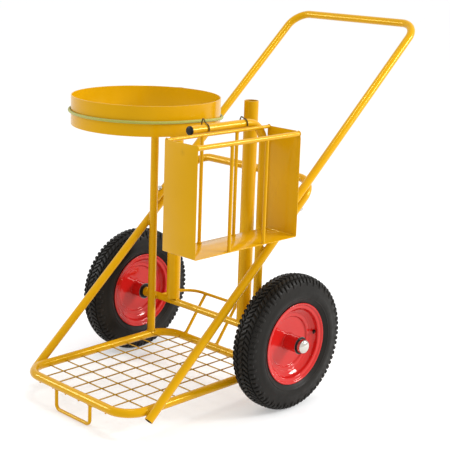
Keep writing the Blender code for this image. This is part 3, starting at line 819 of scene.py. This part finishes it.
def post_plug():
    low, _, middle = node_box("post_plug")
    face = Vector((middle.x, low.y, middle.z))
    head = node_box("box_support_post")[0].y - low.y
    outline = [(0, 0.0), (TUBE_R - 0.0022, 0.0), (TUBE_R - 0.0009, -0.0005), (TUBE_R, -0.0018),
               (TUBE_R, -head + 0.0003), (0.0099, -head), (0.0095, -head - 0.014), (0.0080, -head - 0.0145),
               (0, -head - 0.0145)]
    turned("post_end_plug", outline, face, -Y, 40, BLACK, "cart", "post_plug")


def bolts():
    """Hexagon bolts through the handle and the rails, each with a washer face and rolled thread."""
    for node in sorted(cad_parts):
        if node.startswith("frame_bolt_"):
            bolt(node, node.replace("bolt", "nut"))


def bolt(bolt_node, nut_node):
    """One bolt and its nut; heights run along the rail's normal, from the rail's axis."""
    nut_top = -(TUBE_R + GAP)
    head_top = 3 * TUBE_R + 2 * GAP + HEAD_HEIGHT
    tail = nut_top - NUT_HEIGHT - BOLT_END
    centre = node_box(bolt_node)[2] - RAIL_NORMAL * (head_top + tail) / 2
    shape = bmesh.new()
    hexagon(shape, centre, head_top - 0.0048, head_top)
    washer_face = [(0, head_top - 0.0046), (0.0083, head_top - 0.0046), (0.0085, head_top - 0.0050),
                   (0.0083, head_top - 0.0056), (0, head_top - 0.0056)]
    lathe(shape, washer_face, centre, RAIL_NORMAL, 32)
    shank = [(0, head_top - 0.005), (BOLT_R, head_top - 0.005), (BOLT_R, tail + 0.0105)]
    for turn in range(THREAD_TURNS):
        crest = tail + 0.0100 - turn * THREAD_PITCH
        shank += [(BOLT_R, crest), (THREAD_ROOT_R, crest - THREAD_PITCH / 2)]
    shank += [(0.0031, tail), (0, tail)]
    lathe(shape, shank, centre, RAIL_NORMAL, 24)
    piece(bolt_node + "_m8", shape, ZINC, "cart", bolt_node)
    shape = bmesh.new()
    hexagon(shape, centre, nut_top - NUT_HEIGHT, nut_top - 0.0006, NUT_BORE_R)
    piece(nut_node + "_m8", shape, ZINC, "cart", nut_node)


def hexagon(shape, centre, low, high, bore=None):
    """A hexagon with corners chamfered at both faces, solid or with a round bore."""
    chamfer = 0.0007
    spokes = circle(Vector(), X, RAIL_NORMAL.cross(X), 1.0, HEXAGON_POINTS)
    flats = []
    for index in range(HEXAGON_POINTS):
        angle = 2 * math.pi * index / HEXAGON_POINTS
        flats.append(math.cos(math.pi / 6) / math.cos(angle % (math.pi / 3) - math.pi / 6))
    sharp = [HEXAGON_R * flat for flat in flats]
    cut = [HEXAGON_R * 0.90 * flat ** 0.4 for flat in flats]
    rows = [(low, cut), (low + chamfer, sharp), (high - chamfer, sharp), (high, cut)]
    if bore is not None:
        rows += [(high, [bore] * HEXAGON_POINTS), (low, [bore] * HEXAGON_POINTS)]
    rings = []
    for height, reaches in rows:
        middle = centre + RAIL_NORMAL * height
        rings.append([shape.verts.new(middle + reach * spoke) for reach, spoke in zip(reaches, spokes)])
    joined(shape, rings, bore is not None)
    if bore is None:
        shape.faces.new(rings[0])
        shape.faces.new(rings[-1])


# ---- tool box

def tool_box():
    welds = bmesh.new()
    box_sheet()
    for side in ("inner", "outer"):
        bar_low, bar_high, bar = node_box("box_top_rod_" + side)
        radius = (bar_high.z - bar_low.z) / 2
        path = straight((bar.x, bar_low.y - GAP, bar.z), (bar.x, bar_high.y + GAP, bar.z))
        single_tube("top_rail_" + side, path, radius, PAINT, "tool_box", "box_top_rod_" + side, 28)
        for y in (bar_low.y + GAP, bar_high.y - GAP):
            ring_bead(welds, Vector((bar.x, y, bar.z)), X, Z, radius + 0.0004, FINE_BEAD, 30)
        for place in ("front", "back"):
            node = "box_slat_" + side + "_" + place
            slat_low, _, slat = node_box(node)
            top = bar.z - radius * 0.8
            path = [(slat.x, slat.y, slat_low.z - GAP), (slat.x, slat.y, slat.z), (slat.x, slat.y, top)]
            single_tube(node.replace("box_", "") + "_bar", path, ROD_R, PAINT, "tool_box", node, 28)
            foot = Vector((slat.x, slat.y, slat_low.z + 0.0004))
            ring_bead(welds, foot, X, Y, ROD_R + 0.0003, THIN_BEAD, 30)
            saddle(welds, Vector((bar.x, slat.y, bar.z)), -Z, ROD_R * 0.96, Y, radius, THIN_BEAD, 32)
    for place in ("front", "back"):
        hook(place)
    piece("tool_box_welds", welds, PAINT, "tool_box")


def box_sheet():
    """Front plate, floor and rear plate folded from one sheet, with eased edges and one rounded corner."""
    low, high = BOX_LOW, BOX_HIGH
    front = low.y + SHEET / 2
    back = high.y - SHEET / 2
    floor = low.z + SHEET / 2
    corners = [(0, front, high.z), (0, front, floor), (0, back, floor), (0, back, high.z)]
    path = rounded_path(corners, SHEET_FOLD_R, 6)
    shape = bmesh.new()
    row = [shape.verts.new(Vector((low.x, place.y, place.z))) for place in path]
    edges = [shape.edges.new(pair) for pair in zip(row, row[1:])]
    made = bmesh.ops.extrude_edge_only(shape, edges=edges)["geom"]
    moved = [item for item in made if isinstance(item, bmesh.types.BMVert)]
    bmesh.ops.translate(shape, verts=moved, vec=(high.x - low.x, 0, 0))
    top = max(moved, key=lambda vert: vert.co.y + vert.co.z)
    bmesh.ops.bevel(shape, geom=[top], offset=SHEET_CORNER_R, segments=14, profile=0.5, affect="VERTICES")
    bmesh.ops.recalc_face_normals(shape, faces=shape.faces)
    item = piece("box_folded_sheet", shape, BOX_PAINT, "tool_box", "box_sheet")
    item.data.set_sharp_from_angle(angle=math.radians(60))
    wall = item.modifiers.new("sheet", "SOLIDIFY")
    wall.thickness = SHEET
    wall.offset = 0
    wall.use_even_offset = True
    ease = item.modifiers.new("eased_edges", "BEVEL")
    ease.width = 0.0005
    ease.segments = 2
    ease.limit_method = "ANGLE"
    ease.angle_limit = math.radians(50)


def hook(place):
    """A bent wire: up the leg's far side, a sharp peak, then close over the leg and down to the top rail."""
    node = "box_hook_" + place
    low, high, middle = node_box(node)
    radius = (high.y - low.y) / 2
    leg_high = node_box("box_support_post")[1]
    axis = Vector((leg_high.x - TUBE_R, middle.y, leg_high.z - TUBE_R))
    reach = high.x - radius - axis.x
    far_x = low.x + radius
    peak = high.z - radius
    shoulder = peak - 0.44 * (peak - axis.z) if peak - axis.z > 0.025 else peak - 0.008
    corners = [(far_x, middle.y, low.z), (far_x, middle.y, shoulder),
               (axis.x - 0.70 * reach, middle.y, peak), (axis.x, middle.y, axis.z + reach)]
    path = rounded_path(corners, HOOK_BEND_R, 8)
    for step in range(1, 19):
        turn = math.radians(90 - 6 * step)
        path.append(axis + Vector((reach * math.cos(turn), 0, reach * math.sin(turn))))
    single_tube("hang_hook_" + place, path, radius * 0.92, DARK_STEEL, "tool_box", node, 16)


# ---- wheels

# Profiles as (distance from the axle, distance from the wheel's middle plane)
RIM_FACE = (
    (0.1192, 0.0326), (0.1196, 0.0334), (0.1186, 0.0339), (0.1168, 0.0334), (0.1150, 0.0318),
    (0.1135, 0.0300), (0.1110, 0.0291), (0.1075, 0.0287), (0.1052, 0.0280), (0.1040, 0.0262),
    (0.1032, 0.0230), (0.1022, 0.0196), (0.1004, 0.0168), (0.0977, 0.0146), (0.0945, 0.0125),
    (0.0910, 0.0105), (0.0890, 0.0100), (0.0878, 0.0094), (0.0868, 0.0084), (0.0845, 0.0078),
    (0.0810, 0.0077), (0.0780, 0.0075), (0.0762, 0.0064), (0.0752, 0.0047), (0.0738, 0.0032),
    (0.0710, 0.0024), (0.0660, 0.0021), (0.0560, 0.0018), (0.0460, 0.0015), (0.0340, 0.0014),
    (0.0300, 0.0017), (0.0244, 0.0018),
)
CARCASS = ((0.1950, 0.0), (0.1945, 0.0104), (0.1926, 0.0207), (0.1884, 0.0299), (0.1806, 0.0362),
           (0.1668, 0.0396))
TREAD_TOP = ((0.2000, 0.0), (0.1996, 0.0110), (0.1977, 0.0218), (0.1935, 0.0320), (0.1850, 0.0390),
             (0.1690, 0.0412))
SIDEWALL = ((0.1600, 0.0404), (0.1540, 0.0416), (0.1480, 0.0420), (0.1420, 0.0416), (0.1372, 0.0402),
            (0.1362, 0.0406), (0.1350, 0.0403), (0.1340, 0.0391), (0.1300, 0.0372), (0.1255, 0.0345),
            (0.1232, 0.0330), (0.1214, 0.0322), (0.1205, 0.0300), (0.1198, 0.0280), (0.1120, 0.0268),
            (0.1045, 0.0260))
TREAD_PITCHES = 76


def profile_at(points, part):
    """A place on a half profile, part 0 at the crown and 1 at its end; minus goes to the other side."""
    reach = abs(part) * (len(points) - 1)
    index = min(int(reach), len(points) - 2)
    here = Vector(points[index])
    spot = here.lerp(Vector(points[index + 1]), reach - index)
    return spot.x, math.copysign(spot.y, part) if part else 0.0


def wheel(label, outward):
    body = "wheel_" + label
    centre = node_box("tyre_" + label)[2]
    way = X * outward
    tyre(label, centre, way, body)
    wall = sheet_outline(smooth_outline(RIM_FACE, 3), RIM_SHEET)
    for place, direction in (("outer", way), ("inner", -way)):
        node = "rim_" + place + "_" + label
        rim = turned("pressed_" + node, wall, centre, direction, 128, RED, body, node)
        if place == "outer":
            cut_valve_hole(rim, label, outward)
    hub(label, outward, centre, way, body)
    valve(label, outward, body)
    axle_end(label, outward, centre, way)


def tyre(label, centre, way, body):
    shape = bmesh.new()
    crown = smooth_outline(CARCASS, 3)
    wall = smooth_outline((CARCASS[-1], *SIDEWALL), 2)[1:]
    half = crown + wall
    inner = [(0.1042, 0.0215), (0.1190, 0.0240), (0.1520, 0.0375), (0.1800, 0.0325), (0.1880, 0.0)]
    outline = half + inner
    other = [(radius, -height) for radius, height in outline[1:-1]]
    lathe(shape, outline + other[::-1], centre, way, 120)
    for pitch in range(TREAD_PITCHES):
        for side in (-1, 1):
            turn = pitch + (0.0 if side > 0 else 0.5)
            lug_end = 0.94 if pitch % 2 else 0.82
            block(shape, centre, way, side * 0.56, side * lug_end, turn, 0.70, side * 0.15, 6)
            block(shape, centre, way, side * 0.20, side * 0.50, turn + 0.5, 0.70, side * 0.75, 4)
        block(shape, centre, way, -0.16, 0.16, pitch + 0.25, 0.62, -0.70, 4)
    piece("treaded_tyre_" + label, shape, TYRE, body, "tyre_" + label)


def block(shape, centre, way, start, end, pitch, length, skew, rows):
    """One tread block from start to end across the tyre, as shares of the half profile.

    Its place and length along the tyre are in pitches, and the skew shifts its ends along."""
    across = way.orthogonal().normalized()
    other = way.cross(across)
    step_angle = 2 * math.pi / TREAD_PITCHES
    ease_across = 0.025
    ease_along = 0.060
    narrow_end = 0.72
    rounding = 0.20

    def place(points, part, turn):
        radius, height = profile_at(points, part)
        angle = step_angle * turn
        return centre + way * height + radius * (math.cos(angle) * across + math.sin(angle) * other)

    def row_of(points, inset_across, inset_along):
        grid = []
        first = start + math.copysign(inset_across, end - start)
        last = end - math.copysign(inset_across, end - start)
        for row in range(rows + 1):
            share = row / rows
            part = first + (last - first) * share
            middle = pitch + skew * (share - 0.5)
            half = length / 2 - inset_along
            if rows > 4 and row in (0, rows):
                half *= narrow_end
            line = []
            for turn in (middle - half, middle, middle + half):
                spot = place(points, part, turn)
                if points is TREAD_TOP and turn != middle:
                    spot = spot.lerp(place(CARCASS, part, turn), rounding)
                line.append(shape.verts.new(spot))
            grid.append(line)
        return grid

    foot = row_of(CARCASS, 0.0, 0.0)
    top = row_of(TREAD_TOP, ease_across, ease_along)
    for low, high, foot_low, foot_high in zip(top, top[1:], foot, foot[1:]):
        for column in range(2):
            beside = column + 1
            shape.faces.new((low[column], low[beside], high[beside], high[column]))
            shape.faces.new((foot_low[column], foot_high[column], foot_high[beside], foot_low[beside]))
        for column in (0, 2):
            shape.faces.new((foot_low[column], foot_high[column], high[column], low[column]))
    for row in (0, rows):
        for column in range(2):
            beside = column + 1
            shape.faces.new((foot[row][column], foot[row][beside], top[row][beside], top[row][column]))


def hub(label, outward, centre, way, body):
    """The barrel, its welds to the rim, and a bearing with a thin dark steel flange at each end."""
    low, high, radius = span_of("hub_tube_" + label, centre, outward)
    bore = 0.0153
    ease = 0.0006
    lip = 0.0014
    outline = [(radius, high - lip), (radius, low + lip), (bore + ease, low + lip), (bore, low + lip + ease),
               (bore, high - lip - ease), (bore + ease, high - lip)]
    turned("hub_barrel_" + label, outline, centre, way, 64, RED, body, "hub_tube_" + label)
    welds = bmesh.new()
    for side in (-1, 1):
        ring_bead(welds, centre + way * side * 0.0036, Y, Z, radius + 0.0006, SEAM_BEAD, 72)
    piece("hub_welds_" + label, welds, RED, body)
    for place, sign, end in (("outer", 1, high), ("inner", -1, -low)):
        node = "bearing_" + place + "_" + label
        face = end - 0.0002
        deep = end - 0.0136
        back = end - lip + 0.0001
        wide = radius + 0.0022
        outer = [(wide - 0.0004, face), (wide, face - 0.0004), (wide - 0.0003, back), (0.0149, back),
                 (0.0149, deep), (0.0128, deep), (0.0128, face - 0.0006), (0.0132, face)]
        turned("race_" + node, outer, centre, way * sign, 48, BEARING_STEEL, body, node)
        seal = [(0.0127, face - 0.0010), (0.0127, deep + 0.001), (SHAFT_BORE_R, deep + 0.001),
                (SHAFT_BORE_R, face - 0.0002), (0.0102, face - 0.0002), (0.0110, face - 0.0008)]
        turned("seal_" + node, seal, centre, way * sign, 48, SEAL, body)


def valve_line(label, outward):
    """The two ends of the valve stem's axis, from the corners of its box."""
    low, high, _ = node_box("valve_stem_" + label)
    centre = node_box("tyre_" + label)[2]
    inner = Vector((centre.x + outward * 0.0055, high.y - VALVE_R, high.z - VALVE_R))
    outer = Vector((centre.x + outward * 0.0240, low.y + VALVE_R, low.z + VALVE_R))
    return inner, outer


def cut_valve_hole(rim, label, outward):
    shape = bmesh.new()
    tube(shape, straight(*valve_line(label, outward)), VALVE_HOLE_R, 24)
    bmesh.ops.recalc_face_normals(shape, faces=shape.faces)
    cutter = placed("valve_cut_" + label, mesh_of("valve_cut_" + label, shape))
    hole = rim.modifiers.new("valve_hole", "BOOLEAN")
    hole.operation = "DIFFERENCE"
    hole.object = cutter
    bake_modifiers(rim)
    bpy.data.objects.remove(cutter, do_unlink=True)


def bake_modifiers(item):
    depsgraph = bpy.context.evaluated_depsgraph_get()
    mesh = bpy.data.meshes.new_from_object(item.evaluated_get(depsgraph))
    item.modifiers.clear()
    item.data = mesh


def valve(label, outward, body):
    inner, outer = valve_line(label, outward)
    way = (outer - inner).normalized()
    length = (outer - inner).length
    outline = [(0, length), (0.0021, length), (0.0029, length - 0.0007), (0.0031, length - 0.0015),
               (0.0031, length - 0.0080), (0.0027, length - 0.0084), (0.0027, length - 0.0105),
               (0.0036, length - 0.0112), (VALVE_R, length - 0.0150), (VALVE_R, 0.0), (0, 0.0)]
    turned("valve_and_cap_" + label, outline, inner, way, 24, SEAL, body, "valve_stem_" + label)


def span_of(node, centre, outward):
    """How far a node reaches along the axle, outward from the wheel's middle, and its radius."""
    low, high, _ = node_box(node)
    near, far = sorted(((low.x - centre.x) * outward, (high.x - centre.x) * outward))
    return near, far, (high.z - low.z) / 2


def axle_end(label, outward, centre, way):
    """The seal rings and the collar round the shaft, and the bright cap on its end."""
    for place in ("outer", "inner"):
        node = "washer_" + place + "_" + label
        near, far, radius = span_of(node, centre, outward)
        outline = eased_ring(radius, near, far, SHAFT_BORE_R, 0.0007, 0.0006)
        turned(place + "_seal_ring_" + label, outline, centre, way, 64, SEAL, "cart", node)
    near, far, radius = span_of("axle_collar_" + label, centre, outward)
    outline = eased_ring(radius, near, far, COLLAR_BORE_R, 0.0012, 0.0012)
    turned("axle_end_collar_" + label, outline, centre, way, 48, PAINT, "cart", "axle_collar_" + label)
    base, top, radius = span_of("axle_cap_" + label, centre, outward)
    dome_r = radius * 0.985
    dome_height = 0.0115
    dome = [(0, top)]
    for step in range(1, 13):
        angle = math.radians(90 - 7.2 * step)
        dome.append((dome_r * math.cos(angle), top - dome_height * (1 - math.sin(angle))))
    dome += [(dome_r, base + 0.0035), (radius, base + 0.0028), (radius, base + 0.0004),
             (radius - 0.0005, base), (SHAFT_BORE_R, base), (SHAFT_BORE_R, top - 0.0075), (0, top - 0.0075)]
    turned("push_on_cap_" + label, dome, centre, way, 64, CHROME, "cart", "axle_cap_" + label)


def hidden_pieces():
    """Inner pieces stay as the frame has them, with finished materials."""
    for node, material in (("axle_shaft", ZINC), ("inner_tube_left", SEAL), ("inner_tube_right", SEAL)):
        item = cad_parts[node]
        item.data.materials.clear()
        item.data.materials.append(material)


# ---- studio

def camera():
    """A long lens from the front right corner, a little above the handle, tilted by under two degrees."""
    turn = math.radians(44.3361)
    down = math.radians(11.9681)
    tilt = math.radians(1.9432)
    ahead = Vector((-math.sin(turn) * math.cos(down), math.cos(turn) * math.cos(down), -math.sin(down)))
    data = bpy.data.cameras.new("photo_camera")
    data.lens = 93.179
    data.sensor_width = 36.0
    data.shift_y = -0.10
    item = placed("photo_camera", data)
    item.location = (2.4298, -2.4927, 1.3482)
    item.rotation_mode = "QUATERNION"
    item.rotation_quaternion = ahead.to_track_quat("-Z", "Y") @ Quaternion((0, 0, 1), tilt)
    bpy.context.scene.camera = item


def area_light(name, place, size, power, target=(0, 0, 0.5)):
    data = bpy.data.lights.new(name, "AREA")
    data.shape = "RECTANGLE"
    data.size, data.size_y = size
    data.energy = power
    item = placed(name, data)
    item.location = place
    item.rotation_mode = "QUATERNION"
    item.rotation_quaternion = (Vector(target) - Vector(place)).to_track_quat("-Z", "Y")
    return item


def studio():
    scene = bpy.context.scene
    scene.view_settings.view_transform = "Standard"
    world = bpy.data.worlds.new("studio")
    scene.world = world
    world.use_nodes = True
    set_inputs(world.node_tree.nodes["Background"], {"Color": (1.0, 1.0, 1.0, 1.0), "Strength": 1.02})
    for side in (-1, 1):
        area_light("key", (3.0 - 0.19 * side, 2.3 + 0.25 * side, 2.2), (0.52, 1.05), 60)
    area_light("overhead", (0.2, -0.2, 3.4), (0.45, 0.45), 16)
    area_light("edge", (-2.4, -2.0, 2.2), (0.9, 0.5), 14)
    streak = area_light("streak", (-2.3, -2.3, 1.5), (1.5, 0.35), 60, (-1.6, 0.6, 1.0))
    streak.visible_diffuse = False
    shape = bmesh.new()
    bmesh.ops.create_grid(shape, x_segments=1, y_segments=1, size=30)
    floor = placed("floor", mesh_of("floor", shape))
    finish, _, shader = shader_of("floor_paper")
    set_inputs(shader, {"Base Color": (0.66, 0.66, 0.66, 1.0), "Roughness": 0.9, "Specular IOR Level": 0.0,
                        "Emission Color": (1.0, 1.0, 1.0, 1.0), "Emission Strength": 0.33})
    floor.data.materials.append(finish)


# ---- making

camera()
studio()
frame_welds = bmesh.new()
frame_tubes(frame_welds)
base(frame_welds)
axle_and_arch(frame_welds)
uprights(frame_welds)
hoop(frame_welds)
piece("frame_welds", frame_welds, PAINT, "cart")
single_tube("braided_cord", cord_route(), CORD_R, CORD, "cart", "elastic_cord", 20, closed=True)
post_plug()
bolts()
tool_box()
wheel("left", -1)
wheel("right", 1)
hidden_pieces()
